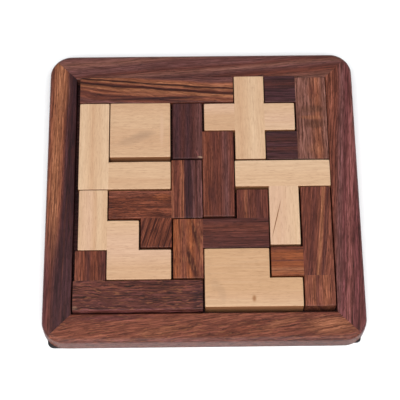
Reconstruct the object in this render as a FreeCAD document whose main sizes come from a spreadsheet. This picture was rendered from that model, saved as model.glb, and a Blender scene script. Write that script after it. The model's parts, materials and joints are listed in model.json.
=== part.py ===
import FreeCAD, Part
import math
import os

import Sketcher

# A tray packing puzzle: a square hardwood tray with mitred rails, filled by thirteen loose pieces of
# square cells, which are the twelve shapes of five cells and one two-by-two square. Each piece is
# glued up from straight strips and blocks of wood. Millimetres. The origin is the middle of the
# underside, +X points right, +Y points to the back rail and +Z points up out of the tray.

SIZES = {
    "tray_size": 150.6,
    "opening_size": 123.6,
    "corner_radius": 10.8,
    "rail_height": 9.6,
    "rail_arris": 2.1,
    "rail_inner_arris": 0.4,
    "rebate_width": 3.0,
    "panel_thickness": 3.0,
    "panel_clearance": 0.1,
    "felt_thickness": 1.0,
    "felt_side_inset": 2.2,
    "felt_end_inset": 0.3,
    "felt_corner_radius": 3.5,
    "piece_thickness": 8.6,
    "piece_corner": 0.5,
    "piece_arris": 0.35,
}

# The cutting list of the loose pieces: where the left front corner of each lies in the tray, the
# widths of its columns from left to right, the depths of its rows from front to back, and its blocks
# of wood as (first column, last column, first row, last row).
PIECES = {
    "i_piece": {
        "corner": (-60.0, 47.4),
        "columns": (75.8,),
        "rows": (14.2,),
        "blocks": {"strip": (1, 1, 1, 1)},
    },
    "v_piece": {
        "corner": (-59.8, 0.6),
        "columns": (14.5, 30.0),
        "rows": (14.5, 31.9),
        "blocks": {"long_strip": (1, 1, 1, 2), "short_strip": (2, 2, 1, 1)},
    },
    "o_piece": {
        "corner": (-44.9, 17.6),
        "columns": (29.5,),
        "rows": (29.5,),
        "blocks": {"block": (1, 1, 1, 1)},
    },
    "n_piece": {
        "corner": (-14.3, -14.0),
        "columns": (14.5, 15.1),
        "rows": (30.7, 14.6, 15.5),
        "blocks": {"far_strip": (1, 1, 2, 3), "near_strip": (2, 2, 1, 2)},
    },
    "f_piece": {
        "corner": (-45.0, -29.5),
        "columns": (15.4, 14.7, 14.8),
        "rows": (14.9, 14.4, 16.0),
        "blocks": {"back_strip": (3, 3, 2, 3), "cross_strip": (1, 2, 2, 2), "front_block": (2, 2, 1, 1)},
    },
    "z_piece": {
        "corner": (-14.2, -45.2),
        "columns": (14.1, 16.3, 15.0),
        "rows": (15.1, 15.0, 15.0),
        "blocks": {"near_strip": (1, 1, 1, 2), "middle_strip": (2, 3, 2, 2), "far_block": (3, 3, 3, 3)},
    },
    "x_piece": {
        "corner": (1.2, 16.1),
        "columns": (15.0, 14.7, 14.8),
        "rows": (15.6, 14.8, 15.1),
        "blocks": {"long_strip": (2, 2, 1, 3), "left_block": (1, 1, 2, 2), "right_block": (3, 3, 2, 2)},
    },
    "u_piece": {
        "corner": (31.3, 15.9),
        "columns": (15.2, 15.0),
        "rows": (15.1, 16.1, 13.7, 0.8),
        "blocks": {"long_strip": (2, 2, 1, 3), "near_block": (1, 1, 1, 1), "far_block": (1, 1, 3, 4)},
    },
    "t_piece": {
        "corner": (15.7, -28.8),
        "columns": (16.0, 14.3, 15.6),
        "rows": (30.3, 13.8),
        "blocks": {"bar": (1, 3, 2, 2), "stem": (2, 2, 1, 1)},
    },
    "y_piece": {
        "corner": (31.7, -59.5),
        "columns": (15.2, 14.2),
        "rows": (15.1, 14.6, 30.9),
        "blocks": {"long_strip": (2, 2, 2, 3), "end_block": (2, 2, 1, 1), "side_block": (1, 1, 2, 2)},
    },
    "p_piece": {
        "corner": (0.4, -59.5),
        "columns": (30.5, 15.3),
        "rows": (14.2, 14.8),
        "blocks": {"long_strip": (1, 2, 1, 1), "short_strip": (1, 1, 2, 2)},
    },
    "w_piece": {
        "corner": (-59.2, -45.6),
        "columns": (13.7, 15.1, 15.2),
        "rows": (14.9, 15.0, 16.0),
        "blocks": {"far_strip": (1, 1, 2, 3), "middle_block": (2, 2, 2, 2), "near_strip": (2, 3, 1, 1)},
    },
    "l_piece": {
        "corner": (-61.1, -60.6),
        "columns": (0.7, 14.5, 45.4),
        "rows": (14.6, 15.0),
        "blocks": {"long_strip": (1, 3, 1, 1), "end_block": (2, 2, 2, 2)},
    },
}

# The rails are alike. Each is drawn as the front one and turned about the tray's middle, in degrees.
RAILS = {"rail_front": 0, "rail_right": 90, "rail_back": 180, "rail_left": 270}

SHEET = "Sizes"

# How far apart two heights or lengths may be and still count as equal, the least volume that a cut
# must take away, and the share of a piece that its blocks may differ from it by.
TOLERANCE = 1e-4
LEAST_CUT = 1.0
VOLUME_SHARE = 1e-3


def make_sheet(doc):
    """The spreadsheet of driving dimensions, with one named cell for each."""
    rows = dict(SIZES)
    for piece, cuts in PIECES.items():
        rows[piece + "_left"], rows[piece + "_front"] = cuts["corner"]
        for side in ("columns", "rows"):
            for number, width in enumerate(cuts[side], start=1):
                rows["%s_%s_%d" % (piece, side, number)] = width
    sheet = doc.addObject("Spreadsheet::Sheet", SHEET)
    for line, (name, value) in enumerate(rows.items(), start=1):
        sheet.set("A%d" % line, name)
        sheet.set("B%d" % line, str(value))
        sheet.setAlias("B%d" % line, name)
    doc.recompute()
    return sheet


def bind(thing, **expressions):
    """Bind properties to expressions in the spreadsheet's aliases, written with the sheet's name."""
    for name, expression in expressions.items():
        thing.setExpression(name, expression)


def place(thing, **offsets):
    """Bind the position of an object along each axis that is given."""
    for axis, expression in offsets.items():
        thing.setExpression(".Placement.Base." + axis, expression)


def span(piece, side, first, last):
    """Expression for the width of a piece's columns or rows from first to last, which may be none."""
    names = ["%s.%s_%s_%d" % (SHEET, piece, side, number) for number in range(first, last + 1)]
    return " + ".join(names) or "0"


# --- tray ---------------------------------------------------------------------------------------


def new_body(doc, name):
    """An empty body, labelled with the name of its sub-part."""
    body = doc.addObject("PartDesign::Body", name + "_body")
    body.Label = name
    return body


def new_sketch(body, name):
    """A sketch on the body's own horizontal plane."""
    sketch = body.newObject("Sketcher::SketchObject", name)
    plane = next(item for item in body.Origin.OriginFeatures if item.Role == "XY_Plane")
    sketch.AttachmentSupport = [(plane, "")]
    sketch.MapMode = "FlatFace"
    return sketch


def constrain(sketch, name, expression, *terms):
    """Add a dimension to a sketch and bind it to an expression."""
    index = sketch.addConstraint(Sketcher.Constraint(*terms))
    sketch.renameConstraint(index, name)
    sketch.setExpression("Constraints." + name, expression)


def draw_rectangle(sketch, width, depth, width_expression, depth_expression):
    """A rectangle centred on the origin."""
    x, y = width / 2, depth / 2
    points = [FreeCAD.Vector(*corner, 0) for corner in ((-x, -y), (x, -y), (x, y), (-x, y))]
    for number in range(4):
        sketch.addGeometry(Part.LineSegment(points[number], points[(number + 1) % 4]))
    for number in range(4):
        sketch.addConstraint(Sketcher.Constraint("Coincident", number, 2, (number + 1) % 4, 1))
    for number in (0, 2):
        sketch.addConstraint(Sketcher.Constraint("Horizontal", number))
    for number in (1, 3):
        sketch.addConstraint(Sketcher.Constraint("Vertical", number))
    sketch.addConstraint(Sketcher.Constraint("Symmetric", 0, 1, 1, 2, -1, 1))
    constrain(sketch, "width", width_expression, "DistanceX", 0, 1, 0, 2, width)
    constrain(sketch, "depth", depth_expression, "DistanceY", 1, 1, 1, 2, depth)


def draw_square(sketch, side, side_expression):
    """A square centred on the origin."""
    draw_rectangle(sketch, side, side, side_expression, side_expression)


def draw_rail(sketch):
    """Plan of the front rail: inner edge, two mitres, and an outer edge that ends in half corners."""
    inner = SIZES["opening_size"] / 2
    outer = SIZES["tray_size"] / 2
    radius = SIZES["corner_radius"]
    centre = outer - radius
    mitre = centre + radius * math.sqrt(0.5)
    point = FreeCAD.Vector
    up = point(0, 0, 1)
    right_corner = Part.Circle(point(centre, -centre, 0), up, radius)
    left_corner = Part.Circle(point(-centre, -centre, 0), up, radius)
    degrees = math.pi / 180
    sketch.addGeometry(Part.LineSegment(point(-inner, -inner, 0), point(inner, -inner, 0)))
    sketch.addGeometry(Part.LineSegment(point(inner, -inner, 0), point(mitre, -mitre, 0)))
    sketch.addGeometry(Part.ArcOfCircle(right_corner, 270 * degrees, 315 * degrees))
    sketch.addGeometry(Part.LineSegment(point(centre, -outer, 0), point(-centre, -outer, 0)))
    sketch.addGeometry(Part.ArcOfCircle(left_corner, 225 * degrees, 270 * degrees))
    sketch.addGeometry(Part.LineSegment(point(-mitre, -mitre, 0), point(-inner, -inner, 0)))
    inner_edge, right_mitre, right_arc, outer_edge, left_arc, left_mitre = range(6)
    vertical_axis = -2
    for terms in (
        ("Coincident", inner_edge, 2, right_mitre, 1),
        ("Coincident", right_mitre, 2, right_arc, 2),
        ("Tangent", right_arc, 1, outer_edge, 1),
        ("Tangent", outer_edge, 2, left_arc, 2),
        ("Coincident", left_arc, 1, left_mitre, 1),
        ("Coincident", left_mitre, 2, inner_edge, 1),
        ("Symmetric", inner_edge, 1, inner_edge, 2, vertical_axis),
        ("Symmetric", outer_edge, 1, outer_edge, 2, vertical_axis),
        ("PointOnObject", right_arc, 3, right_mitre),
        ("PointOnObject", left_arc, 3, left_mitre),
        ("Equal", right_arc, left_arc),
    ):
        sketch.addConstraint(Sketcher.Constraint(*terms))
    half_opening = "Sizes.opening_size / 2"
    half_tray = "Sizes.tray_size / 2"
    straight = "Sizes.tray_size - 2 * Sizes.corner_radius"
    constrain(sketch, "opening", "Sizes.opening_size", "DistanceX", inner_edge, 1, inner_edge, 2, 2 * inner)
    constrain(sketch, "inner_edge", half_opening, "DistanceY", inner_edge, 1, -1, 1, inner)
    constrain(sketch, "outer_edge", half_tray, "DistanceY", outer_edge, 1, -1, 1, outer)
    constrain(sketch, "straight", straight, "DistanceX", outer_edge, 2, outer_edge, 1, 2 * centre)
    constrain(sketch, "corner", "Sizes.corner_radius", "Radius", right_arc, radius)


def edge_names(shape, chosen):
    """Names of the edges of a shape that a test chooses."""
    return ["Edge%d" % number for number, edge in enumerate(shape.Edges, start=1) if chosen(edge)]


def is_level(edge, height):
    """Whether a whole edge lies at one height."""
    box = edge.BoundBox
    return abs(box.ZMin - height) < TOLERANCE and abs(box.ZMax - height) < TOLERANCE


def is_outer_rim(edge):
    """Whether an edge of the front rail is its outer top edge or one of that edge's half corners."""
    if not is_level(edge, SIZES["rail_height"]):
        return False
    half_corner = edge.Curve.TypeId == "Part::GeomCircle"
    return half_corner or abs(edge.BoundBox.YMax + SIZES["tray_size"] / 2) < TOLERANCE


def is_inner_rim(edge):
    """Whether an edge of the front rail is its top edge beside the loose pieces."""
    inner = SIZES["opening_size"] / 2
    return is_level(edge, SIZES["rail_height"]) and abs(edge.BoundBox.YMin + inner) < TOLERANCE


def make_rail(doc, name, turn):
    """One mitred rail with a rebate for the base panel, an outer arris and a finer inner one."""
    body = new_body(doc, name)
    plan = new_sketch(body, name + "_plan")
    draw_rail(plan)
    blank = body.newObject("PartDesign::Pad", name + "_blank")
    blank.Profile = plan
    bind(blank, Length="Sizes.rail_height")
    seat = new_sketch(body, name + "_seat")
    side = SIZES["opening_size"] + 2 * SIZES["rebate_width"]
    draw_square(seat, side, "Sizes.opening_size + 2 * Sizes.rebate_width")
    doc.recompute()
    rebate = body.newObject("PartDesign::Pocket", name + "_rebate")
    rebate.Profile = seat
    rebate.Reversed = True
    bind(rebate, Length="Sizes.panel_thickness")
    doc.recompute()
    if rebate.Shape.Volume > blank.Shape.Volume - LEAST_CUT:
        raise RuntimeError(name + ": the rebate cuts nothing")
    arris = body.newObject("PartDesign::Fillet", name + "_arris")
    arris.Base = (rebate, edge_names(rebate.Shape, is_outer_rim))
    bind(arris, Radius="Sizes.rail_arris")
    doc.recompute()
    inner_arris = body.newObject("PartDesign::Fillet", name + "_inner_arris")
    inner_arris.Base = (arris, edge_names(arris.Shape, is_inner_rim))
    bind(inner_arris, Radius="Sizes.rail_inner_arris")
    body.Placement.Rotation = FreeCAD.Rotation(FreeCAD.Vector(0, 0, 1), turn)
    place(body, z="Sizes.felt_thickness")
    return body


def make_panel(doc):
    """The thin panel that the pieces rest on, let into the rails' rebate."""
    body = new_body(doc, "base_panel")
    plan = new_sketch(body, "base_panel_plan")
    side = SIZES["opening_size"] + 2 * (SIZES["rebate_width"] - SIZES["panel_clearance"])
    draw_square(plan, side, "Sizes.opening_size + 2 * (Sizes.rebate_width - Sizes.panel_clearance)")
    panel = body.newObject("PartDesign::Pad", "base_panel_sheet")
    panel.Profile = plan
    bind(panel, Length="Sizes.panel_thickness")
    place(body, z="Sizes.felt_thickness")
    return body


def make_felt(doc):
    """The backing under the tray. Its corners are less rounded than the tray's, so they show."""
    body = new_body(doc, "felt_backing")
    plan = new_sketch(body, "felt_backing_plan")
    draw_rectangle(
        plan,
        SIZES["tray_size"] - 2 * SIZES["felt_side_inset"],
        SIZES["tray_size"] - 2 * SIZES["felt_end_inset"],
        "Sizes.tray_size - 2 * Sizes.felt_side_inset",
        "Sizes.tray_size - 2 * Sizes.felt_end_inset",
    )
    sheet = body.newObject("PartDesign::Pad", "felt_backing_sheet")
    sheet.Profile = plan
    bind(sheet, Length="Sizes.felt_thickness")
    doc.recompute()
    corners = body.newObject("PartDesign::Fillet", "felt_backing_corners")
    corners.Base = (sheet, edge_names(sheet.Shape, is_upright))
    bind(corners, Radius="Sizes.felt_corner_radius")
    return body


# --- loose pieces -------------------------------------------------------------------------------


def is_upright(edge):
    """Whether an edge runs along Z."""
    box = edge.BoundBox
    return box.XLength < TOLERANCE and box.YLength < TOLERANCE


def is_outer_corner(shape, edge):
    """Whether an upright edge is a corner that stands out, with wood on only one side of it."""
    near = 0.05
    middle = edge.BoundBox.Center
    around = [FreeCAD.Vector(x, y, 0) * near for x in (-1, 1) for y in (-1, 1)]
    return sum(shape.isInside(middle + step, TOLERANCE, False) for step in around) == 1


def make_box(doc, piece, name, first_column, last_column, first_row, last_row):
    """The straight block of wood over a span of a piece's columns and rows."""
    box = doc.addObject("Part::Box", "%s_%s_box" % (piece, name))
    bind(
        box,
        Length=span(piece, "columns", first_column, last_column),
        Width=span(piece, "rows", first_row, last_row),
        Height="Sizes.piece_thickness",
    )
    place(box, x=span(piece, "columns", 1, first_column - 1), y=span(piece, "rows", 1, first_row - 1))
    return box


def ease_edges(doc, blank, name):
    """Round a glued-up piece all over, a little more at its upright corners."""
    top = SIZES["piece_thickness"]
    shape = blank.Shape
    edges = []
    for number, edge in enumerate(shape.Edges, start=1):
        if is_level(edge, 0) or is_level(edge, top):
            edges.append((number, SIZES["piece_arris"], SIZES["piece_arris"]))
        elif is_outer_corner(shape, edge):
            edges.append((number, SIZES["piece_corner"], SIZES["piece_corner"]))
    eased = doc.addObject("Part::Fillet", name + "_eased")
    eased.Base = blank
    eased.Edges = edges
    return eased


def make_piece(doc, piece, cuts):
    """One loose piece as its separate blocks of wood, with edges eased as after gluing up."""
    boxes = {name: make_box(doc, piece, name, *spans) for name, spans in cuts["blocks"].items()}
    if len(boxes) == 1:
        (blank,) = boxes.values()
    else:
        blank = doc.addObject("Part::MultiFuse", piece + "_blank")
        blank.Shapes = list(boxes.values())
        blank.Refine = True
    doc.recompute()
    eased = ease_edges(doc, blank, piece)
    blocks = []
    for name, box in boxes.items():
        if len(boxes) == 1:
            block = eased
        else:
            block = doc.addObject("Part::Common", "%s_%s_cut" % (piece, name))
            block.Base = eased
            block.Tool = box
        block.Label = "%s_%s" % (piece, name)
        place(
            block,
            x="Sizes.%s_left" % piece,
            y="Sizes.%s_front" % piece,
            z="Sizes.felt_thickness + Sizes.panel_thickness",
        )
        blocks.append(block)
    doc.recompute()
    whole = eased.Shape.Volume
    if abs(sum(block.Shape.Volume for block in blocks) - whole) > VOLUME_SHARE * whole:
        raise RuntimeError(piece + ": its blocks don't add up to the whole piece")
    return blocks


# --- document -----------------------------------------------------------------------------------


def check(doc, subparts):
    """Stop before anything is written if the document or a sub-part has failed."""
    for item in doc.Objects:
        if "Invalid" in item.State or "Error" in item.State:
            raise RuntimeError("failed object: " + item.Label)
    for item in subparts:
        if item.Shape.isNull() or not item.Shape.isValid() or len(item.Shape.Solids) != 1:
            raise RuntimeError("bad shape: " + item.Label)


def main():
    doc = FreeCAD.newDocument("tray_packing_puzzle")
    make_sheet(doc)
    subparts = [make_felt(doc), make_panel(doc)]
    subparts += [make_rail(doc, name, turn) for name, turn in RAILS.items()]
    for piece, cuts in PIECES.items():
        subparts += make_piece(doc, piece, cuts)
    doc.recompute()
    check(doc, subparts)
    os.makedirs("parts", exist_ok=True)
    for item in subparts:
        item.Shape.exportStep("parts/%s.step" % item.Label)
        box = item.Shape.BoundBox
        print("%-22s %9.1f mm3  low %7.2f %7.2f %5.2f  high %7.2f %7.2f %5.2f" % (
            item.Label, item.Shape.Volume, box.XMin, box.YMin, box.ZMin, box.XMax, box.YMax, box.ZMax))


main()
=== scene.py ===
import json
import math

import bpy
import numpy as np
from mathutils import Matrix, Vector, noise


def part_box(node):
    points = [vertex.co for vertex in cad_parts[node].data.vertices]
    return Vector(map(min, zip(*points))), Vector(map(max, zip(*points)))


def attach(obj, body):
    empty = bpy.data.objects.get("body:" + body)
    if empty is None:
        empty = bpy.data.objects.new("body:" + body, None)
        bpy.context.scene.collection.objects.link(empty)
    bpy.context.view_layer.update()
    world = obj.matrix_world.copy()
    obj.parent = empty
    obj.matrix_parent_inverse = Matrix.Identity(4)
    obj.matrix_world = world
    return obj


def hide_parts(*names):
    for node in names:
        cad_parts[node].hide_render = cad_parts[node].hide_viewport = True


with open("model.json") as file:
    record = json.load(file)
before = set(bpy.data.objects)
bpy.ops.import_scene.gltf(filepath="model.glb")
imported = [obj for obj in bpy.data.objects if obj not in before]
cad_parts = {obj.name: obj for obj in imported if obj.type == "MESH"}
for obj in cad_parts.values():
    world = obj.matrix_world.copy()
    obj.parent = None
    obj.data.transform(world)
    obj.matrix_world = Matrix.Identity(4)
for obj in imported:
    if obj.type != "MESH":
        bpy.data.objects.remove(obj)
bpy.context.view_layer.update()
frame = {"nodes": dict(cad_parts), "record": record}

# A tray packing puzzle: four mitred rosewood rails on a thin panel and a felt backing, filled with
# thirteen loose pieces that are glued up from straight blocks of pale wood or of rosewood. Meshes
# are worked out in millimetres in the frame of the CAD part and are stored in metres.

MM = 0.001
BODIES = frame["record"]["behaviour"]["bodies"]


def box_mm(node):
    """The lowest and highest corners of a CAD node, in millimetres."""
    low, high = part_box(node)
    return np.array(low) / MM, np.array(high) / MM


# --- colours ------------------------------------------------------------------------------------

# Shades of wood as they look on the table, in the 0 to 255 of a colour picker. A surface there
# looks LIGHT times as bright as what it reflects, plus a faint HAZE from its gloss. Without its
# haze no shade looks darker than DARKEST.
LIGHT = 1.44
HAZE = 0.009
DARKEST = 0.002
SHADES = {
    "ink": (56, 34, 36),
    "plum": (73, 45, 47),
    "umber": (86, 48, 43),
    "cocoa": (98, 54, 46),
    "russet": (110, 60, 48),
    "sienna": (124, 70, 54),
    "amber": (141, 83, 60),
    "honey": (157, 99, 70),
    "gold": (178, 118, 80),
    "wine": (103, 56, 55),
    "rose": (130, 76, 71),
    "mauve": (107, 67, 63),
    "clay": (126, 82, 70),
    "copper": (145, 80, 50),
    "coffee": (64, 33, 28),
    "brick": (112, 60, 44),
    "olive": (99, 63, 49),
    "cream": (226, 190, 155),
    "blond": (220, 181, 145),
    "wheat": (213, 171, 135),
    "peach": (222, 182, 152),
    "straw": (209, 166, 127),
    "sand": (204, 160, 124),
    "tan": (178, 132, 92),
    "knot": (126, 80, 42),
    "smoke": (172, 140, 114),
}


def linear(level):
    """One channel of a colour picker, as light."""
    share = level / 255
    return share / 12.92 if share <= 0.04045 else ((share + 0.055) / 1.055) ** 2.4


def shade(name):
    """What a surface reflects, as red, green, blue and alpha, to look like a shade on the table."""
    return tuple(max(linear(level) - HAZE, DARKEST) / LIGHT for level in SHADES[name]) + (1.0,)


# --- node graphs --------------------------------------------------------------------------------


class Graph:
    """A material and short calls for the few kinds of node that it is made of."""

    def __init__(self, name):
        self.material = bpy.data.materials.new(name)
        self.material.use_nodes = True
        self.tree = self.material.node_tree
        self.tree.nodes.clear()

    def node(self, kind, inputs, **settings):
        made = self.tree.nodes.new(kind)
        for key, value in settings.items():
            setattr(made, key, value)
        for key, value in inputs.items():
            socket = made.inputs[key]
            if isinstance(value, bpy.types.NodeSocket):
                self.tree.links.new(value, socket)
            else:
                socket.default_value = value
        return made

    def math(self, operation, *values):
        return self.node("ShaderNodeMath", dict(enumerate(values)), operation=operation).outputs[0]

    def vector(self, x, y, z):
        return self.node("ShaderNodeCombineXYZ", {0: x, 1: y, 2: z}).outputs[0]

    def split(self, vector):
        return self.node("ShaderNodeSeparateXYZ", {0: vector}).outputs

    def place(self, vector, location=(0, 0, 0), rotation=(0, 0, 0), scale=(1, 1, 1)):
        inputs = {"Vector": vector, "Location": location, "Rotation": rotation, "Scale": scale}
        return self.node("ShaderNodeMapping", inputs).outputs[0]

    def noise(self, vector, detail=2.0, roughness=0.5):
        inputs = {"Vector": vector, "Scale": 1.0, "Detail": detail, "Roughness": roughness}
        return self.node("ShaderNodeTexNoise", inputs).outputs[0]

    def stretch(self, value, low, high, first=0.0, last=1.0):
        """Value between low and high as a smooth step from first to last."""
        inputs = {"Value": value, "From Min": low, "From Max": high}
        inputs.update({"To Min": first, "To Max": last})
        return self.node("ShaderNodeMapRange", inputs, interpolation_type="SMOOTHSTEP").outputs[0]

    def ramp(self, value, stops):
        made = self.node("ShaderNodeValToRGB", {0: value})
        elements = made.color_ramp.elements
        while len(elements) < len(stops):
            elements.new(1.0)
        for element, (position, colour) in zip(elements, stops):
            element.position = position
            element.color = colour
        return made.outputs[0]

    def mix(self, factor, first, second, blend="MIX"):
        made = self.node("ShaderNodeMix", {0: factor, 6: first, 7: second}, data_type="RGBA")
        made.blend_type = blend
        return made.outputs[2]

    def finish(self, colour, roughness, height, depth, specular, sheen=0.0):
        """The surface itself: colour, roughness and a bump of the given depth in metres."""
        bump = self.node("ShaderNodeBump", {"Strength": 1.0, "Distance": depth, "Height": height})
        inputs = {"Base Color": colour, "Roughness": roughness, "Normal": bump.outputs[0]}
        surface = self.node("ShaderNodeBsdfPrincipled", inputs)
        surface.inputs["Specular IOR Level"].default_value = specular
        surface.inputs["Sheen Weight"].default_value = sheen
        output = self.node("ShaderNodeOutputMaterial", {})
        self.tree.links.new(surface.outputs[0], output.inputs["Surface"])
        return self.material


# --- wood ---------------------------------------------------------------------------------------

# What each kind of wood is like: its overall gain in brightness, how strongly the fine lines along
# the grain, the broken flakes, the wider streaks and the pores show, the shades of its lighter and
# darker streaks, and its finish: roughness, gloss and the depth of its relief in millimetres.
WOODS = {
    "rosewood": {
        "gain": 1.04, "lines": 0.65, "flakes": 0.2, "streaks": 0.32, "pores": 0.5,
        "light": "amber", "dark": "umber", "roughness": 0.46, "specular": 0.25, "depth": 0.06,
    },
    "pale": {
        "gain": 1.0, "lines": 0.065, "flakes": 0.04, "streaks": 0.25, "pores": 0.15,
        "light": "cream", "dark": "sand", "roughness": 0.5, "specular": 0.25, "depth": 0.03,
    },
}

# How fine each kind of figure is: steps of its noise in a millimetre along the grain, across it and
# upwards.
STREAK_SCALE = (0.022, 0.75, 0.6)
LINE_SCALE = (0.045, 2.1, 1.8)
FLAKE_SCALE = (0.13, 1.25, 1.1)
PORE_SCALE = (0.3, 3.4, 3.2)
FLECK_SCALE = (0.28, 1.5, 1.5)
SWIRL_SCALE = (0.07, 0.35, 0.3)
FADE_SCALE = (0.06, 0.4, 0.3)

# Each block has a seed of its own, and its noise starts this far from the last one's.
SEED_STEPS = (37.7, 11.3, 5.1)

# How far the grain leans sideways with each millimetre of height.
LEAN = 0.35

# Painted shade: upright faces of pale wood are tinted darker and browner than its tops, for the
# dim, warm light that reaches them between the pieces. They reflect these shares of its red, green
# and blue.
UPRIGHT_PAINTED_SHADE = (0.58, 0.39, 0.28, 1)

# End grain reflects this share of what a face along the grain does.
END_GRAIN_SHARE = 0.72

# In darker lines and pores green falls faster than red, and blue faster still, by these powers.
GREEN_POWER = 1.2
BLUE_POWER = 1.35


class Block:
    """One block's own space: along and across its tilted grain and up, in millimetres."""

    def __init__(self, graph, node, look, seed):
        low, high = box_mm(node)
        middle = (low + high) / 2
        size = high - low
        self.along_y = look["grain"] == "y"
        self.length, self.width = (size[1], size[0]) if self.along_y else (size[0], size[1])
        self.offset = tuple(seed * step for step in SEED_STEPS)

        turn = math.radians((-90 if self.along_y else 0) - look.get("tilt", 0))
        cosine, sine = math.cos(turn), math.sin(turn)
        flip = -1 if self.along_y else 1
        location = (
            -(middle[0] * cosine - middle[1] * sine),
            -(middle[0] * sine + middle[1] * cosine) * flip,
            -middle[2],
        )
        space = graph.node("ShaderNodeTexCoord", {}).outputs["Object"]
        turned = graph.place(space, rotation=(0, 0, turn), scale=(1 / MM, 1 / MM, 1 / MM))
        self.local = graph.place(turned, location=location, scale=(1, flip, 1))
        self.bend(graph, look)

    def bend(self, graph, look):
        """Slow waves, the finer figure, the lean and the bow push the grain sideways."""
        along, across, up = graph.split(self.local)
        wave_size, wave_length = look.get("wave", (0.8, 30))
        figure_size, figure_length = look.get("figure", (0.12, 5))
        waves, figure = (1 / wave_length, 0.09, 0.08), (1 / figure_length, 0.35, 0.3)
        slow = graph.noise(graph.place(self.local, self.offset, scale=waves), 1.0)
        fine = graph.noise(graph.place(self.local, self.offset, scale=figure), 2.0)
        push = graph.math("MULTIPLY_ADD", slow, 2 * wave_size, -wave_size)
        centred = graph.math("SUBTRACT", push, figure_size)
        push = graph.math("MULTIPLY_ADD", fine, 2 * figure_size, centred)
        lean = graph.math("MULTIPLY_ADD", up, LEAN, push)
        shifted = graph.math("ADD", across, lean)
        bend_centre, bend = look.get("bow", (0.5, 0.0))
        from_centre = graph.math("SUBTRACT", along, (bend_centre - 0.5) * self.length)
        squared = graph.math("MULTIPLY", from_centre, from_centre)
        self.bowed = graph.math("MULTIPLY_ADD", squared, bend, shifted)
        self.grain = graph.vector(along, self.bowed, graph.math("MULTIPLY_ADD", push, 0.5, up))
        self.end_share = graph.math("MULTIPLY_ADD", along, 1 / self.length, 0.5)
        self.ragged = graph.math("MULTIPLY_ADD", fine, 0.5, 0.75)


def wood(name, node, look, seed):
    """Solid wood cut from its own place in a plank, with the look of one block."""
    kind = WOODS[look["wood"]]
    graph = Graph(name)
    block = Block(graph, node, look, seed)
    colour = banded(graph, look, block)
    colour = marked(graph, look.get("tones", ()), block, colour)
    colour = streaked(graph, look, block, colour)
    line = graph.noise(graph.place(block.grain, block.offset, scale=LINE_SCALE), 3.0, 0.75)
    pore = graph.noise(graph.place(block.grain, block.offset, scale=PORE_SCALE), 1.0, 0.6)
    pores = graph.stretch(pore, 0.58, 0.68)
    colour = figured(graph, look, block, colour, line, pores)
    colour = ringed(graph, look, block, colour)
    colour = marked(graph, look.get("marks", ()), block, colour)

    # End grain drinks more oil: darker and duller.
    normal = graph.split(graph.node("ShaderNodeTexCoord", {}).outputs["Normal"])
    facing = graph.math("ABSOLUTE", normal[1 if block.along_y else 0])
    end_grain = graph.stretch(facing, 0.6, 0.9)
    dark = graph.stretch(end_grain, 0, 1, 1.0, END_GRAIN_SHARE)
    colour = graph.mix(1.0, colour, graph.vector(dark, dark, dark), "MULTIPLY")
    # Painted shade: upright faces of pale wood are tinted darker and browner, for the dim, warm
    # light between the pieces.
    if look["wood"] == "pale":
        upright = graph.stretch(graph.math("ABSOLUTE", normal[2]), 0.75, 0.35)
        colour = graph.mix(upright, colour, graph.mix(1.0, colour, UPRIGHT_PAINTED_SHADE, "MULTIPLY"))
    roughness = graph.math("MULTIPLY_ADD", line, 0.16, kind["roughness"] - 0.08)
    roughness = graph.math("MULTIPLY_ADD", pores, 0.18, roughness)
    roughness = graph.math("MULTIPLY_ADD", end_grain, 0.15, roughness)

    height = graph.math("MULTIPLY_ADD", pores, -0.7, graph.math("MULTIPLY", line, 0.35))
    return graph.finish(colour, roughness, height, kind["depth"] * MM, kind["specular"])


def banded(graph, look, block):
    """The bands across a block, which give way to others along it."""
    share = graph.math("MULTIPLY_ADD", block.bowed, 1 / (block.width * look.get("spread", 1)), 0.5)
    stops = [(position, shade(name)) for position, name in look["bands"]]
    colour = graph.ramp(share, stops)
    if "far_bands" in look:
        far_stops = [(position, shade(name)) for position, name in look["far_bands"]]
        start, stop = look.get("change", (0.1, 0.9))
        change = graph.stretch(block.end_share, start, stop)
        colour = graph.mix(change, colour, graph.ramp(share, far_stops))
    return colour


def marked(graph, marks, block, colour):
    """A colour under soft oval tones or marks."""
    for along, across, length, width, turn, name, strength in marks:
        centre = ((along - 0.5) * block.length, (across - 0.5) * block.width)
        moved = graph.place(block.local, location=(-centre[0], -centre[1], 0))
        turned = graph.place(moved, rotation=(0, 0, -math.radians(turn)), scale=(1, 1, 0))
        fitted = graph.place(turned, scale=(2 / length, 2 / width, 0))
        reach = graph.node("ShaderNodeVectorMath", {0: fitted}, operation="LENGTH").outputs["Value"]
        uneven = graph.math("DIVIDE", reach, block.ragged)
        colour = graph.mix(graph.stretch(uneven, 1.0, 0.35, 0.0, strength), colour, shade(name))
    return colour


def streaked(graph, look, block, colour):
    """A colour with streaks a millimetre or two wide, lighter and darker."""
    kind = WOODS[look["wood"]]
    streak = graph.noise(graph.place(block.grain, block.offset, scale=STREAK_SCALE), 3.0, 0.6)
    strength = kind["streaks"] * look.get("streaks", 1.0)
    lighter = graph.stretch(streak, 0.53, 0.72, 0.0, strength)
    darker = graph.stretch(streak, 0.47, 0.28, 0.0, strength * 1.2)
    colour = graph.mix(lighter, colour, shade(look.get("light", kind["light"])))
    return graph.mix(darker, colour, shade(look.get("dark", kind["dark"])))


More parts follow.
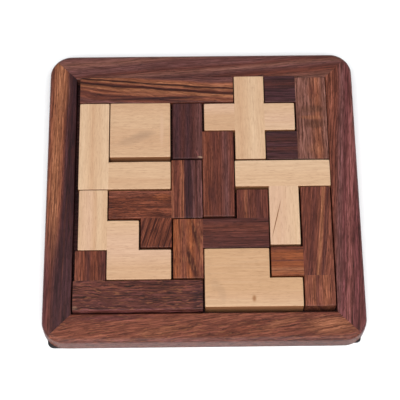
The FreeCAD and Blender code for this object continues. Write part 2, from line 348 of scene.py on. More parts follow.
def figured(graph, look, block, colour, line, pores):
    """A colour made brighter and darker by lines a few tenths wide, broken flakes and pores."""
    kind = WOODS[look["wood"]]
    contrast = kind["lines"] * look.get("lines", 1.0)
    gain = kind["gain"]
    brightness = graph.stretch(line, 0.3, 0.7, gain * (1 - contrast), gain * (1 + contrast))
    flake = graph.noise(graph.place(block.grain, block.offset, scale=FLAKE_SCALE), 2.0, 0.6)
    contrast = kind["flakes"] * look.get("flakes", 1.0)
    flaked = graph.stretch(flake, 0.3, 0.7, 1 - contrast, 1 + contrast)
    brightness = graph.math("MULTIPLY", brightness, flaked)
    hollow = graph.math("MULTIPLY", pores, kind["pores"])
    brightness = graph.math("MULTIPLY", brightness, graph.math("SUBTRACT", 1.0, hollow))
    if "ends" in look:
        ends = graph.stretch(block.end_share, 0, 1, *look["ends"])
        brightness = graph.math("MULTIPLY", brightness, ends)
    green = graph.math("POWER", brightness, GREEN_POWER)
    blue = graph.math("POWER", brightness, BLUE_POWER)
    return graph.mix(1.0, colour, graph.vector(brightness, green, blue), "MULTIPLY")


def ringed(graph, look, block, colour):
    """A colour under thin lines that fade in and out over centimetres, and lighter flecks."""
    if "rings" in look:
        spacing, curl, name, amount = look["rings"]
        place = graph.place(block.grain, (2.7, *block.offset[:2]), scale=SWIRL_SCALE)
        swirl = graph.math("MULTIPLY", graph.noise(place, 2.0), curl)
        phase = graph.math("MULTIPLY_ADD", block.bowed, 1 / spacing, swirl)
        ring = graph.stretch(graph.math("PINGPONG", phase, 0.5), 0.2, 0.05)
        place = graph.place(block.grain, (6.4, *block.offset[:2]), scale=FADE_SCALE)
        fade = graph.stretch(graph.noise(place, 1.0), 0.36, 0.56, 0.0, amount)
        colour = graph.mix(graph.math("MULTIPLY", ring, fade), colour, shade(name))
    if "flecks" in look:
        name, amount = look["flecks"]
        place = graph.place(block.grain, (9.1, *block.offset[:2]), scale=FLECK_SCALE)
        fleck = graph.stretch(graph.noise(place, 1.0), 0.58, 0.72, 0.0, amount)
        colour = graph.mix(fleck, colour, shade(name))
    return colour


def bands(text):
    """Bands written as 'position shade, position shade'."""
    pairs = [item.split() for item in text.split(",")]
    return [(float(position), name) for position, name in pairs]


# The look of each block. Its grain runs along X or Y, turned anticlockwise by tilt degrees. The
# grain waves and is figured by the (size, length) of wave and figure in millimetres, and follows a
# bow: (the share along the block where the bow is straight, how fast it bends).
#
# Bands are shades at shares of the block's width, or of spread times that width, from the front or
# left side to the back or right one. They give way to far_bands between the two shares along the
# block that change names. Lines, flakes and streaks are weighed against the kind of wood's own,
# light and dark stand in for the shades of its streaks, and ends gives the brightness of the first
# and the last end. Rings are thin lines: (spacing in millimetres, how much they swirl, shade,
# strength). Flecks are (shade, strength).
#
# Tones lie under the figure and marks on top of it. Both are soft ovals: (along, across, length,
# width, turn, shade, strength). The first two are shares of the block, measured along and across
# the tilted grain, and the next two are in millimetres.
LOOKS = {
    "rail_front": {
        "wood": "rosewood", "grain": "x", "wave": (1.6, 34), "figure": (0.6, 4.5), "tilt": 8,
        "lines": 1.0, "flakes": 1.5, "streaks": 0.6, "rings": (1.4, 3, "brick", 0.5), "spread": 2.2,
        "flecks": ("gold", 0.3),
        "bands": bands(
            "0 amber, .2 sienna, .35 russet, .5 sienna, .62 sienna, .8 sienna, 1 russet"
        ),
        "far_bands": bands(
            "0 russet, .2 russet, .35 sienna, .5 russet, .65 sienna, .8 russet, 1 russet"
        ),
        "tones": [
            (0.9, -0.1, 34, 11, -8, "honey", 0.6), (0.74, 0.24, 34, 5, 10, "honey", 0.45),
            (0.6, 0.2, 36, 6, 10, "brick", 0.7), (0.36, 0.56, 30, 6, 0, "honey", 0.35),
            # The long, thin mauve tone along the front edge is a painted highlight, the sheen on
            # the front arris.
            (0.21, 1.29, 44, 4, -6, "wine", 0.7), (0.5, 0.0, 300, 3.2, -8, "mauve", 0.7),
            (0.87, -0.57, 60, 2.4, -8, "umber", 0.6),
        ],
    },
    "rail_back": {
        "wood": "rosewood", "grain": "x", "wave": (1.4, 60), "light": "sienna", "streaks": 0.4,
        "tilt": 5, "spread": 1.8, "rings": (2.6, 3, "umber", 0.3), "lines": 0.8, "flakes": 0.8,
        "bands": bands(
            "0 russet, .12 clay, .25 russet, .32 cocoa, .4 mauve, .48 clay, .56 cocoa, .62 mauve, "
            ".72 mauve, .84 clay, 1 mauve"
        ),
        "tones": [(0.2, 0.12, 44, 3, 0, "amber", 0.6)],
    },
    "rail_left": {
        "wood": "rosewood", "grain": "y", "wave": (0.6, 45), "tilt": -1.2, "change": (0.18, 0.5),
        "streaks": 0.5, "rings": (2.4, 2, "umber", 0.35), "lines": 0.9,
        "bands": bands("0 rose, .12 wine, .3 wine, .45 cocoa, .6 plum, .75 plum, .9 plum, 1 plum"),
        # The mauve at the start of the far bands, along the outer edge, is a painted highlight on
        # the outer arris.
        "far_bands": bands(
            "0 mauve, .1 russet, .2 amber, .34 honey, .5 honey, .62 amber, .7 cocoa, .77 plum, "
            ".88 ink, 1 ink"
        ),
        "tones": [
            (0.88, 0.38, 44, 9, 0, "honey", 0.6), (0.36, 0.72, 64, 6, 4, "ink", 0.7),
            (0.2, 0.6, 36, 5, 8, "ink", 0.5),
        ],
    },
    "rail_right": {
        "wood": "rosewood", "grain": "y", "wave": (1.0, 40), "light": "sienna", "tilt": -4,
        "streaks": 0.5, "lines": 1.15, "flakes": 1.6, "spread": 1.3,
        "rings": (1.3, 3, "umber", 0.3),
        "bands": bands(
            "0 sienna, .15 sienna, .3 russet, .45 mauve, .6 wine, .75 rose, .9 wine, 1 wine"
        ),
    },
    "i_piece_strip": {
        "wood": "rosewood", "grain": "x", "wave": (1.2, 26), "figure": (0.5, 6),
        "ends": (0.9, 1.03), "tilt": -1.7, "bow": (1.0, -0.00073), "spread": 1.5, "light": "amber",
        "streaks": 0.6, "lines": 0.85, "flakes": 1.0, "rings": (2.2, 2, "umber", 0.3),
        "bands": bands(
            "0 russet, .1 mauve, .18 sienna, .27 umber, .33 amber, .39 sienna, .44 honey, "
            ".485 honey, .51 coffee, .55 coffee, .575 sienna, .61 honey, .64 coffee, .66 coffee, "
            ".685 honey, .74 amber, .8 mauve, 1 umber"
        ),
        "tones": [(0.5, 0.16, 66, 2.2, 3, "ink", 0.9), (0.42, 0.33, 40, 2.6, -2, "honey", 0.5)],
    },
    "v_piece_long_strip": {
        "wood": "pale", "grain": "y",
        "bands": bands("0 blond, .25 cream, .45 blond, .55 wheat, .7 blond, 1 cream"),
    },
    "v_piece_short_strip": {
        "wood": "pale", "grain": "x",
        "bands": bands("0 blond, .4 wheat, .6 blond, 1 blond"),
    },
    "o_piece_block": {
        "wood": "pale", "grain": "x", "figure": (0.6, 3), "lines": 0.7, "wave": (0.8, 30),
        "flakes": 1.5,
        "bands": bands("0 blond, .25 wheat, .45 wheat, .7 blond, 1 wheat"),
        "marks": [
            (0.42, 0.33, 26, 6, 16, "smoke", 0.38), (0.56, 0.42, 15, 5, 12, "smoke", 0.34),
            (0.86, 0.5, 2.4, 26, 0, "peach", 0.6),
        ],
    },
    "n_piece_far_strip": {
        "wood": "rosewood", "grain": "y", "streaks": 0.2, "light": "mauve",
        "rings": (0.9, 2, "ink", 0.25), "lines": 0.8, "flakes": 0.6, "flecks": ("mauve", 0.4),
        "bands": bands("0 umber, .25 plum, .45 umber, .6 plum, .8 umber, 1 mauve"),
        "marks": [(0.02, 0.92, 1.2, 3.2, 8, "smoke", 0.8), (0.09, 0.82, 5, 0.9, -24, "rose", 0.8)],
    },
    "n_piece_near_strip": {
        "wood": "rosewood", "grain": "y", "ends": (0.96, 1.06), "streaks": 0.3, "lines": 0.75,
        "flakes": 0.6, "rings": (2.4, 2, "coffee", 0.25), "light": "sienna",
        "bands": bands(
            "0 amber, .12 sienna, .25 brick, .45 cocoa, .65 russet, .85 mauve, 1 russet"
        ),
        "tones": [(0.6, 0.3, 30, 3, 0, "sienna", 0.6), (0.25, 0.25, 14, 4, -8, "umber", 0.6)],
    },
    "f_piece_back_strip": {
        "wood": "rosewood", "grain": "y", "wave": (0.5, 40), "streaks": 0.5,
        "rings": (1.4, 2, "ink", 0.35),
        "bands": bands(
            "0 russet, .1 amber, .2 russet, .34 russet, .42 amber, .48 amber, .52 umber, .58 plum, "
            ".68 ink, .76 plum, .84 mauve, .9 umber, 1 mauve"
        ),
    },
    "f_piece_cross_strip": {
        "wood": "rosewood", "grain": "x", "figure": (0.8, 3), "streaks": 0.5, "flakes": 1.8,
        "lines": 1.1, "rings": (1.2, 4, "coffee", 0.45), "light": "copper",
        "bands": bands("0 brick, .25 brick, .5 brick, .8 brick, 1 sienna"),
        "tones": [(0.85, 0.75, 14, 6, 0, "copper", 0.6)],
    },
    "f_piece_front_block": {
        "wood": "rosewood", "grain": "y", "tilt": -17, "wave": (0.3, 20), "streaks": 0.3,
        "flakes": 1.2, "rings": (2.5, 0.4, "coffee", 1.0), "lines": 1.2, "spread": 1.2,
        "light": "copper",
        "bands": bands("0 brick, .2 sienna, .35 brick, .5 brick, .65 brick, .8 brick, 1 brick"),
    },
    "z_piece_near_strip": {
        "wood": "rosewood", "grain": "y", "flecks": ("gold", 0.4), "wave": (0.8, 25),
        "streaks": 0.4, "rings": (1.8, 2, "russet", 0.4), "flakes": 1.2, "light": "copper",
        "bands": bands("0 copper, .2 copper, .45 sienna, .7 copper, 1 sienna"),
        "tones": [
            (0.25, 0.62, 26, 4.2, -17, "coffee", 0.9), (0.72, 0.74, 26, 3.0, -14, "coffee", 0.8),
            (0.45, 0.92, 22, 2.4, -12, "honey", 0.6),
        ],
    },
    "z_piece_middle_strip": {
        "wood": "rosewood", "grain": "x", "lines": 1.0, "wave": (0.4, 40), "streaks": 0.5,
        "flakes": 0.8, "rings": (1.2, 1, "coffee", 0.45), "light": "brick", "dark": "coffee",
        "bands": bands("0 umber, .3 umber, .6 cocoa, .8 russet, 1 umber"),
    },
    "z_piece_far_block": {
        "wood": "rosewood", "grain": "y", "streaks": 0.7, "rings": (2.0, 2, "umber", 0.6),
        "bands": bands("0 cocoa, .3 russet, .42 amber, .5 cocoa, .65 russet, .8 umber, 1 russet"),
    },
    "x_piece_long_strip": {
        "wood": "pale", "grain": "y",
        "bands": bands("0 blond, .3 wheat, .5 blond, .7 cream, 1 blond"),
    },
    "x_piece_left_block": {
        "wood": "pale", "grain": "x",
        "bands": bands("0 wheat, .6 wheat, 1 peach"),
    },
    "x_piece_right_block": {
        "wood": "pale", "grain": "x",
        "bands": bands("0 cream, .5 peach, 1 blond"),
    },
    "u_piece_long_strip": {
        "wood": "rosewood", "grain": "y", "lines": 1.0, "flakes": 1.5, "streaks": 0.3,
        "light": "rose", "figure": (0.35, 5), "rings": (1.1, 3, "umber", 0.5),
        "bands": bands("0 clay, .25 clay, .5 clay, .8 amber, 1 clay"),
        "tones": [
            (0.6, 0.55, 6, 16, 0, "olive", 0.75), (0.42, 0.6, 7, 13, 0, "olive", 0.75),
            (0.82, 0.6, 12, 9, 0, "sienna", 0.5), (0.5, 0.5, 3, 16, 0, "honey", 0.6),
            (0.12, 0.6, 8, 11, 0, "honey", 0.3),
        ],
    },
    "u_piece_near_block": {
        "wood": "rosewood", "grain": "x", "streaks": 0.3, "flakes": 0.8, "light": "mauve",
        "rings": (1.1, 2, "ink", 0.5),
        "bands": bands("0 umber, .3 plum, .5 umber, .6 plum, .8 umber, 1 plum"),
    },
    "u_piece_far_block": {
        "wood": "rosewood", "grain": "x", "streaks": 0.2, "flakes": 0.6, "light": "mauve",
        "dark": "ink", "rings": (1.6, 2, "ink", 0.35),
        "bands": bands("0 umber, .2 plum, .6 plum, .8 umber, 1 plum"),
    },
    "t_piece_bar": {"wood": "pale", "grain": "x", "bands": bands("0 blond, .5 blond, 1 cream")},
    "t_piece_stem": {
        "wood": "pale", "grain": "y", "lines": 0.25,
        "bands": bands("0 peach, .5 peach, 1 cream"),
        "marks": [(0.44, 0.23, 27, 0.6, 14, "knot", 0.95)],
    },
    "y_piece_long_strip": {
        "wood": "rosewood", "grain": "y", "tilt": -6, "wave": (0.7, 40), "streaks": 0.5,
        "spread": 1.2, "rings": (1.7, 2, "umber", 0.5),
        "bands": bands(
            "0 russet, .12 sienna, .22 russet, .36 russet, .46 cocoa, .55 russet, .62 sienna, "
            ".69 honey, .75 sienna, .82 umber, .9 sienna, 1 sienna"
        ),
    },
    "y_piece_end_block": {
        "wood": "rosewood", "grain": "y", "streaks": 0.4, "rings": (1.8, 2, "russet", 0.5),
        "flakes": 1.4,
        "bands": bands("0 amber, .25 sienna, .45 amber, .54 cocoa, .6 sienna, .8 amber, 1 sienna"),
    },
    "y_piece_side_block": {
        "wood": "rosewood", "grain": "x", "streaks": 0.3, "flakes": 0.5, "lines": 0.6,
        "wave": (0.3, 20), "rings": (2.2, 1, "brick", 0.6), "light": "copper",
        "bands": bands(
            "0 copper, .12 copper, .32 honey, .42 copper, .57 copper, .61 cocoa, .65 copper, "
            ".8 copper, .88 copper, 1 brick"
        ),
    },
    "p_piece_long_strip": {
        "wood": "pale", "grain": "x",
        "bands": bands("0 blond, .4 wheat, .7 straw, 1 straw"),
        "marks": [
            (0.5, 0.28, 2.8, 4.6, 0, "tan", 0.8), (0.5, 0.28, 1.5, 2.8, 0, "copper", 0.4),
            (0.17, 0.5, 5, 14, 16, "smoke", 0.22), (0.1, 0.75, 5, 9, 0, "smoke", 0.2),
        ],
    },
    "p_piece_short_strip": {
        "wood": "pale", "grain": "x",
        "bands": bands("0 straw, .5 straw, 1 straw"),
    },
    "w_piece_far_strip": {
        "wood": "pale", "grain": "y",
        "bands": bands("0 blond, .5 peach, .7 wheat, .8 cream, 1 blond"),
    },
    "w_piece_middle_block": {
        "wood": "pale", "grain": "x",
        "bands": bands("0 peach, .5 peach, 1 blond"),
    },
    "w_piece_near_strip": {
        "wood": "pale", "grain": "x",
        "bands": bands("0 wheat, .5 wheat, 1 peach"),
    },
    "l_piece_long_strip": {
        "wood": "rosewood", "grain": "x", "figure": (0.9, 5), "flakes": 2.2, "lines": 1.4,
        "streaks": 0.4, "rings": (1.2, 3, "amber", 0.4), "wave": (1.0, 20), "light": "sienna",
        "flecks": ("honey", 0.5),
        "bands": bands(
            "0 wine, .05 rose, .09 wine, .15 umber, .4 umber, .7 umber, .9 cocoa, 1 umber"
        ),
        "tones": [
            (0.35, 0.55, 60, 9, 0, "umber", 0.5), (0.97, 0.45, 9, 18, 0, "ink", 0.7),
            (0.02, 0.08, 3, 2.4, 0, "smoke", 0.35),
        ],
    },
    "l_piece_end_block": {
        "wood": "rosewood", "grain": "y", "wave": (0.3, 30), "streaks": 0.5,
        "rings": (1.9, 1, "coffee", 0.4), "light": "copper", "flakes": 1.2,
        "bands": bands(
            "0 brick, .2 sienna, .4 brick, .5 cocoa, .56 umber, .65 brick, .8 brick, 1 cocoa"
        ),
    },
    "base_panel": {
        "wood": "rosewood", "grain": "x", "streaks": 0.2,
        "bands": bands("0 plum, .3 mauve, .5 plum, .8 mauve, 1 plum"),
    },
}


# --- meshes -------------------------------------------------------------------------------------

# A block's mesh, in millimetres: how far from its edges the close grid lines lie, and how far apart
# the others are.
EDGE_STEPS = (0.0, 0.06, 0.14, 0.25, 0.38, 0.55, 0.8)
CELL = 1.5

# Hand sanding, in millimetres: the rounding of the edges and how much it varies, how much more the
# corners are rounded and how far that reaches, and how far a flat face dips.
ROUND = 0.36
ROUND_VARIES = 0.1
CORNER_ROUND = 0.12
CORNER_REACH = 1.6
UNEVEN = 0.03

# How fast the unevenness changes, in steps of noise for each millimetre: along the edges of a
# piece, over its top, over the top of a rail and around the felt.
EDGE_NOISE = 0.11
TOP_NOISE = 0.16
RAIL_NOISE = 0.07
FELT_NOISE = 0.8

# In millimetres: how deep a glue joint shows, how close two places are that count as one, how close
# two blocks are that are glued together, and how long a glued face is at least.
GROOVE = 0.025
SAME = 1e-3
GLUED = 0.01
SHORTEST_JOINT = 1

# Edges that turn by more than this many degrees are shaded sharp.
SHARP_ABOVE = 35


def add_mesh(name, points, faces):
    """A smooth-shaded object from points in millimetres, with its sharper edges left sharp."""
    mesh = bpy.data.meshes.new(name)
    mesh.from_pydata([tuple(point) for point in np.array(points) * MM], [], faces)
    mesh.validate()
    mesh.shade_smooth()
    mesh.set_sharp_from_angle(angle=math.radians(SHARP_ABOVE))
    made = bpy.data.objects.new(name, mesh)
    bpy.context.scene.collection.objects.link(made)
    return made


def grid_lines(low, high, cuts):
    """Places along one side of a block, closer near its ends and its neighbours' corners."""
    lines = set()
    for cut in (low, high, *cuts):
        for step in EDGE_STEPS:
            both = (cut - step, cut + step)
            lines.update(round(place, 4) for place in both if low <= place <= high)
    count = round((high - low) / CELL)
    for number in range(1, count):
        place = low + (high - low) * number / count
        if min(abs(place - line) for line in lines) > CELL / 3:
            lines.add(round(place, 4))
    return sorted(lines)


def box_shell(xs, ys, zs):
    """Points and quads of a box's six faces on three sets of grid lines."""
    index, faces = {}, []
    last = (len(xs) - 1, len(ys) - 1, len(zs) - 1)

    def point(*place):
        return index.setdefault(place, len(index))

    for axis in range(3):
        first, second = (axis + 1) % 3, (axis + 2) % 3
        for end in (0, last[axis]):
            for i in range(last[first]):
                for j in range(last[second]):
                    corners = []
                    for di, dj in ((0, 0), (1, 0), (1, 1), (0, 1)):
                        place = [0, 0, 0]
                        place[axis], place[first], place[second] = end, i + di, j + dj
                        corners.append(point(*place))
                    faces.append(corners if end else corners[::-1])
    points = np.array([(xs[i], ys[j], zs[k]) for i, j, k in index])
    return points, faces


def joints_between(boxes):
    """Glued faces between a piece's blocks: (axis across it, its place, start, stop along it)."""
    joints = []
    for one in boxes:
        for other in boxes:
            for axis in (0, 1):
                place = one[1][axis]
                start = max(one[0][1 - axis], other[0][1 - axis])
                stop = min(one[1][1 - axis], other[1][1 - axis])
                if abs(place - other[0][axis]) < GLUED and stop - start > SHORTEST_JOINT:
                    joints.append((axis, place, start, stop))
    return joints


def ease(points, boxes, joints, seed):
    """Points on a piece's sharp outline, moved in to its hand-sanded outline with rounded edges."""
    low_z, high_z = boxes[0][0][2], boxes[0][1][2]
    shift = Vector((seed, 0, 0))
    wobble = np.array([noise.noise(Vector(point) * EDGE_NOISE + shift) for point in points])
    radius = ROUND + ROUND_VARIES * wobble
    corners = [(x, y) for low, high in boxes for x in (low[0], high[0]) for y in (low[1], high[1])]
    near = np.min([np.hypot(points[:, 0] - x, points[:, 1] - y) for x, y in corners], axis=0)
    radius = radius + CORNER_ROUND * np.exp(-((near / CORNER_REACH) ** 2))

    spans = [((low[0], high[0]), (low[1], high[1]), (1, 1)) for low, high in boxes]
    for axis, place, start, stop in joints:
        across, along = (place, place), (start, stop)
        if axis == 0:
            spans.append((across, along, (-1, 1)))
        else:
            spans.append((along, across, (1, -1)))
    best, moved = np.full(len(points), np.inf), points.copy()
    for (x0, x1), (y0, y1), (inset_x, inset_y) in spans:
        core = np.column_stack([
            np.clip(points[:, 0], x0 + inset_x * radius, x1 - inset_x * radius),
            np.clip(points[:, 1], y0 + inset_y * radius, y1 - inset_y * radius),
            np.clip(points[:, 2], low_z + radius, high_z - radius),
        ])
        away = points - core
        distance = np.linalg.norm(away, axis=1)
        closer = distance < best
        best[closer] = distance[closer]
        pull = np.minimum(1, radius / np.maximum(distance, 1e-9))[:, None]
        moved[closer] = (core + away * pull)[closer]
    return moved


def wooden_block(node, boxes, joints, box, seed):
    """One block of a piece as a fine mesh: eased edges, hairline glue joints, sanded faces."""
    low, high = box
    cuts = [[], []]
    for axis, place, start, stop in joints:
        cuts[axis].append(place)
        cuts[1 - axis] += [start, stop]
    inside = [[cut for cut in cuts[axis] if low[axis] < cut < high[axis]] for axis in (0, 1)]
    xs = grid_lines(low[0], high[0], inside[0])
    ys = grid_lines(low[1], high[1], inside[1])
    zs = grid_lines(low[2], high[2], ())
    sharp, faces = box_shell(xs, ys, zs)
    points = ease(sharp, boxes, joints, seed)

    # Each glue joint shows as a hairline groove, and faces are never quite flat.
    for axis, place, start, stop in joints:
        along = 1 - axis
        on_joint = (abs(sharp[:, axis] - place) < SAME) & (sharp[:, along] > start - SAME)
        on_joint &= sharp[:, along] < stop + SAME
        points[on_joint & (sharp[:, 2] > high[2] - SAME), 2] -= GROOVE
        points[on_joint & (sharp[:, 2] < low[2] + SAME), 2] += GROOVE
    for number, point in enumerate(points):
        if sharp[number, 2] > high[2] - SAME:
            dip = noise.noise(Vector(point) * TOP_NOISE + Vector((0, seed, 0)))
            points[number, 2] -= UNEVEN * (0.5 + 0.5 * dip)
    return add_mesh(node + "_wood", points, faces)


def add_wood(made, node, body, seed):
    """Give a piece the wood of its CAD node, which it stands for, and the body that it rides on."""
    made.data.materials.append(wood(made.name, node, LOOKS[node], seed))
    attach(made, body)
    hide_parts(node)


def loose_pieces():
    """Every loose piece, block by block."""
    seed = 0
    for body, nodes in BODIES.items():
        if body == "tray":
            continue
        boxes = [box_mm(node) for node in nodes]
        joints = joints_between(boxes)
        for node, box in zip(nodes, boxes):
            seed += 1
            add_wood(wooden_block(node, boxes, joints, box, seed), node, body, seed)


# --- tray ---------------------------------------------------------------------------------------

# Each rail is shaped as the front one and turned about the tray's middle by this many degrees.
RAIL_TURNS = {"rail_front": 0, "rail_right": 90, "rail_back": 180, "rail_left": 270}

# In millimetres: how far the panel is let in under a rail, the rounding of the rail's outer, inner
# and lowest edges, how deep a mitre shows and how far above the panel it starts to, and how far
# down from its top a rail dips.
REBATE = 3.0
OUTER_ARRIS = 2.05
INNER_ARRIS = 0.4
FOOT_ARRIS = 0.25
MITRE_GROOVE = 0.07
MITRE_FROM = 1
DIP_REACH = 0.5

# The rail's mesh: steps in each rounding, steps over its top, and millimetres between sections
# along it. The mitre is at 315 degrees round the corner's arc, and the section beside it at
# BEFORE_MITRE.
ARC_STEPS = 7
TOP_STEPS = 9
STATION = 2.5
BEFORE_MITRE = 314.6

# Seeds of the front rail, of the step from one rail to the next, and of the panel.
RAIL_SEED = 101
RAIL_SEED_STEP = 7
PANEL_SEED = 91


def rail_stations(outer, inner, radius):
    """Plan of the front rail as pairs of an outer and an inner point, from mitre to mitre."""
    centre = outer - radius
    corner = [math.radians(270 + 45 * step / ARC_STEPS) for step in range(1, ARC_STEPS + 1)]
    corner.insert(-1, math.radians(BEFORE_MITRE))
    right = [
        ((centre + radius * math.cos(angle), -centre + radius * math.sin(angle)), (inner, -inner))
        for angle in corner
    ]
    left = [((-x, y), (-inner, -inner)) for (x, y), _ in reversed(right)]
    count = round(2 * inner / STATION)
    straight = []
    for number in range(count + 1):
        x = inner * (2 * number / count - 1)
        straight.append(((x, -outer), (x, -inner)))
    return left + straight + right


def rail_section(outside, inside, low, high, floor_height):
    """The rail's outline at one station, from the outer foot over the top and into the rebate."""
    outside, inside = np.array(outside), np.array(inside)
    inward = (inside - outside) / np.linalg.norm(inside - outside)
    slant = abs(inward[1])

    def from_outside(depth, height):
        return (*(outside + inward * depth), height)

    def from_inside(depth, height):
        return (*(inside - inward * depth / slant), height)

    section = [from_outside(FOOT_ARRIS, low), from_outside(0, low + FOOT_ARRIS)]
    middle = (low + high) / 2
    section.append(from_outside(0, middle))
    for step in range(ARC_STEPS + 1):
        angle = math.pi / 2 * step / ARC_STEPS
        depth = OUTER_ARRIS * (1 - math.cos(angle))
        section.append(from_outside(depth, high - OUTER_ARRIS * (1 - math.sin(angle))))
    near, far = np.array(section[-1]), np.array(from_inside(INNER_ARRIS, high))
    section += [tuple(near + (far - near) * step / TOP_STEPS) for step in range(1, TOP_STEPS)]
    for step in range(ARC_STEPS + 1):
        angle = math.pi / 2 * step / ARC_STEPS
        depth = INNER_ARRIS * (1 - math.sin(angle))
        section.append(from_inside(depth, high - INNER_ARRIS * (1 - math.cos(angle))))
    section.append(from_inside(0, floor_height))
    section += [from_inside(REBATE, height) for height in (floor_height, low)]
    return section


def rail(node, turn, floor_height, shape, seed):
    """One mitred rail, with its edges rounded over and its mitres a hairline open."""
    outer, inner, radius, low, high = shape
    sections = [
        rail_section(outside, inside, low, high, floor_height)
        for outside, inside in rail_stations(outer, inner, radius)
    ]
    across = len(sections[0])
    points = np.array([point for section in sections for point in section])
    for end in (slice(0, across), slice(-across, None)):
        on_top = points[end, 2] > floor_height + MITRE_FROM
        points[end, 2] -= MITRE_GROOVE * on_top
    for number, point in enumerate(points):
        if point[2] > high - DIP_REACH:
            dip = noise.noise(Vector(point) * RAIL_NOISE + Vector((seed, seed, 0)))
            points[number, 2] -= 2 * UNEVEN * (0.5 + 0.5 * dip)
    faces = []
    for row in range(len(sections) - 1):
        for column in range(across):
            here, there = row * across + column, row * across + (column + 1) % across
            faces.append([here, here + across, there + across, there])
    faces.append(list(range(across)))
    faces.append(list(range(len(points) - 1, len(points) - across - 1, -1)))
    angle = math.radians(turn)
    rotation = np.array([[math.cos(angle), -math.sin(angle)], [math.sin(angle), math.cos(angle)]])
    points[:, :2] = points[:, :2] @ rotation.T
    return add_mesh(node + "_wood", points, faces)


def tray():
    """The four rails, the panel and the felt."""
    low, high = box_mm("rail_front")
    outer, inner = -low[1], -high[1]
    radius = (outer - high[0]) / (1 - math.sqrt(0.5))
    floor_height = box_mm("base_panel")[1][2]
    shape = (outer, inner, radius, low[2], high[2])
    for number, (node, turn) in enumerate(RAIL_TURNS.items()):
        seed = RAIL_SEED + RAIL_SEED_STEP * number
        add_wood(rail(node, turn, floor_height, shape, seed), node, "tray", seed)
    panel = frame["nodes"]["base_panel"]
    dress(panel, wood("base_panel_wood", "base_panel", LOOKS["base_panel"], PANEL_SEED))
    felt_sheet()


def dress(thing, material):
    """Give a CAD node its material."""
    for slot in thing.material_slots:
        slot.link = "OBJECT"
        slot.material = material


# The felt's corners as they were cut, anticlockwise from the front left, in millimetres: how far
# the corner stops short of the CAD sheet's in x and in y, and how far from it along each side the
# cut begins. Each cut was made in this many snips.
FELT_CORNERS = ((0.0, 0.0, 3.6), (0.1, 1.2, 2.2), (0.5, 0.4, 6.0), (0.1, 0.7, 5.5))
FELT_SNIPS = 5

# The felt's mesh: millimetres between points around its edge, and its rings of points from the
# lower face over the edge to the upper one: (millimetres in from the edge, share of the thickness).
# The edge is furry by FELT_FUZZ millimetres.
FELT_STEP = 1.2
FELT_RINGS = ((0.12, 0.0), (0.0, 0.2), (0.0, 0.8), (0.12, 1.0), (1.2, 1.0))
FELT_FUZZ = 0.12

# What the fibres and the dust on them reflect, and how rough the cloth is in millimetres.
FELT_BLACK = (0.008, 0.008, 0.009, 1)
FELT_CHARCOAL = (0.030, 0.029, 0.031, 1)
FELT_DUST = (0.09, 0.085, 0.08, 1)
FELT_RELIEF = 0.15


def felt_outline(half_x, half_y):
    """The felt's outline, cut by hand: not quite square, each corner taken off in a few snips."""
    signs = ((-1, -1), (1, -1), (1, 1), (-1, 1))
    corners = [
        np.array([sign_x * (half_x - short_x), sign_y * (half_y - short_y)])
        for (sign_x, sign_y), (short_x, short_y, _) in zip(signs, FELT_CORNERS)
    ]
    outline = []
    for number, corner in enumerate(corners):
        cut = FELT_CORNERS[number][2]
        ahead = corners[(number + 1) % 4] - corner
        behind = corners[number - 1] - corner
        start = corner + behind / np.linalg.norm(behind) * cut
        stop = corner + ahead / np.linalg.norm(ahead) * cut
        for step in range(FELT_SNIPS + 1):
            share = step / FELT_SNIPS
            outline.append(
                (1 - share) ** 2 * start + 2 * share * (1 - share) * corner + share**2 * stop
            )
        next_cut = FELT_CORNERS[(number + 1) % 4][2]
        run = ahead * (1 - (cut + next_cut) / np.linalg.norm(ahead))
        count = round(np.linalg.norm(run) / FELT_STEP)
        outline += [stop + run * step / count for step in range(1, count)]
    return outline


def felt_sheet():
    """The black felt under the tray, with a slightly furry edge."""
    low, high = box_mm("felt_backing")
    outline = felt_outline(high[0], high[1])
    rings = []
    for inset, height in FELT_RINGS:
        ring = []
        for x, y in outline:
            curl = noise.noise(Vector((x * FELT_NOISE, y * FELT_NOISE, height)))
            fuzz = FELT_FUZZ * (0.5 + 0.5 * curl)
            shrink = 1 - (inset + fuzz) / high[0]
            ring.append((x * shrink, y * shrink, low[2] + height * (high[2] - low[2])))
        rings.append(ring)
    count = len(outline)
    points = [point for ring in rings for point in ring]
    faces = []
    for row in range(len(rings) - 1):
        for column in range(count):
            here, there = row * count + column, row * count + (column + 1) % count
            faces.append([here, there, there + count, here + count])
    faces.append(list(range(count))[::-1])
    faces.append(list(range(len(points) - count, len(points))))
    made = add_mesh("felt_backing_cloth", points, faces)
    made.data.materials.append(felt("felt_backing_cloth"))
    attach(made, "tray")
    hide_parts("felt_backing")


def felt(name):
    """Pressed black wool: matted fibres, a little dust and a soft sheen."""
    graph = Graph(name)
    space = graph.node("ShaderNodeTexCoord", {}).outputs["Object"]
    local = graph.place(space, scale=(1 / MM, 1 / MM, 1 / MM))
    curl = graph.noise(graph.place(local, scale=(1.4, 1.4, 1.4)), 3.0)
    fibres = graph.noise(graph.place(local, (3, 8, 1), (0.2, 0.1, 0.6), (1.2, 6, 6)), 3.0, 0.6)
    crossed = graph.noise(graph.place(local, (7, 2, 5), (0.1, 0.3, -0.9), (1.1, 7, 7)), 3.0, 0.6)
    mat = graph.math("MULTIPLY_ADD", fibres, 0.5, graph.math("MULTIPLY", crossed, 0.5))
    colour = graph.mix(graph.stretch(mat, 0.35, 0.68), FELT_BLACK, FELT_CHARCOAL)
    dust = graph.noise(graph.place(local, scale=(2.2, 2.2, 2.2)), 1.0)
    colour = graph.mix(graph.stretch(dust, 0.68, 0.8, 0.0, 0.5), colour, FELT_DUST)
    roughness = graph.stretch(curl, 0.3, 0.7, 0.86, 0.98)
    height = graph.math("MULTIPLY_ADD", curl, 0.6, mat)
    return graph.finish(colour, roughness, height, FELT_RELIEF * MM, 0.2, sheen=0.35)


# --- stage --------------------------------------------------------------------------------------

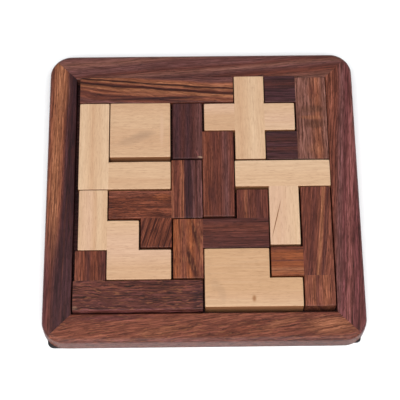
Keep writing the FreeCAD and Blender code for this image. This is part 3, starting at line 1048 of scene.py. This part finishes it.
# The floor is a square this many millimetres wide, of two nearly equal greys.
FLOOR_SIZE = 5000
FLOOR_GREYS = ((0.94, 0.94, 0.94, 1), (0.97, 0.97, 0.97, 1))

# The light that comes from everywhere, and the lamps: name, place in metres, size in metres, watts.
SKY_COLOUR = (0.94, 0.97, 1.0, 1)
SKY_STRENGTH = 0.4
LAMPS = (
    ("left", (-0.45, -0.45, 1.0), 0.9, 8.7),
    ("right", (0.45, -0.45, 1.0), 0.9, 8.7),
    ("front", (0.0, -1.0, 0.75), 1.0, 6.3),
)

# The camera's place in metres, its turn in degrees, and its lens and sensor width in millimetres.
CAMERA_PLACE = (-0.0052, -0.2694, 0.6094)
CAMERA_TURN = (23.856, -0.072, -0.680)
CAMERA_LENS = 122.85
CAMERA_SENSOR = 36


def stage():
    """A plain pale floor and soft light from above."""
    graph = Graph("floor")
    space = graph.node("ShaderNodeTexCoord", {}).outputs["Object"]
    cloud = graph.noise(graph.place(space, scale=(9, 9, 9)), 2.0)
    colour = graph.mix(cloud, *FLOOR_GREYS)
    material = graph.finish(colour, graph.stretch(cloud, 0, 1, 0.6, 0.7), cloud, 0.1 * MM, 0.2)
    half = FLOOR_SIZE / 2
    corners = [(-half, -half, 0), (half, -half, 0), (half, half, 0), (-half, half, 0)]
    floor = add_mesh("floor", corners, [[0, 1, 2, 3]])
    floor.data.materials.append(material)

    world = bpy.data.worlds.new("studio")
    world.use_nodes = True
    background = world.node_tree.nodes["Background"]
    background.inputs["Color"].default_value = SKY_COLOUR
    background.inputs["Strength"].default_value = SKY_STRENGTH
    bpy.context.scene.world = world
    bpy.context.scene.view_settings.view_transform = "Standard"
    for name, place, size, power in LAMPS:
        lamp(name, place, size, power)


def lamp(name, place, size, power):
    """A square soft light at a place, pointing at the tray."""
    light = bpy.data.lights.new(name, "AREA")
    light.shape = "SQUARE"
    light.size = size
    light.energy = power
    made = bpy.data.objects.new(name, light)
    made.location = place
    made.rotation_euler = (-Vector(place)).to_track_quat("-Z", "Y").to_euler()
    bpy.context.scene.collection.objects.link(made)


def camera():
    """The camera, held above and in front of the tray."""
    data = bpy.data.cameras.new("camera")
    data.sensor_width = CAMERA_SENSOR
    data.lens = CAMERA_LENS
    made = bpy.data.objects.new("camera", data)
    made.location = CAMERA_PLACE
    made.rotation_euler = [math.radians(angle) for angle in CAMERA_TURN]
    bpy.context.scene.collection.objects.link(made)
    bpy.context.scene.camera = made


tray()
loose_pieces()
stage()
camera()
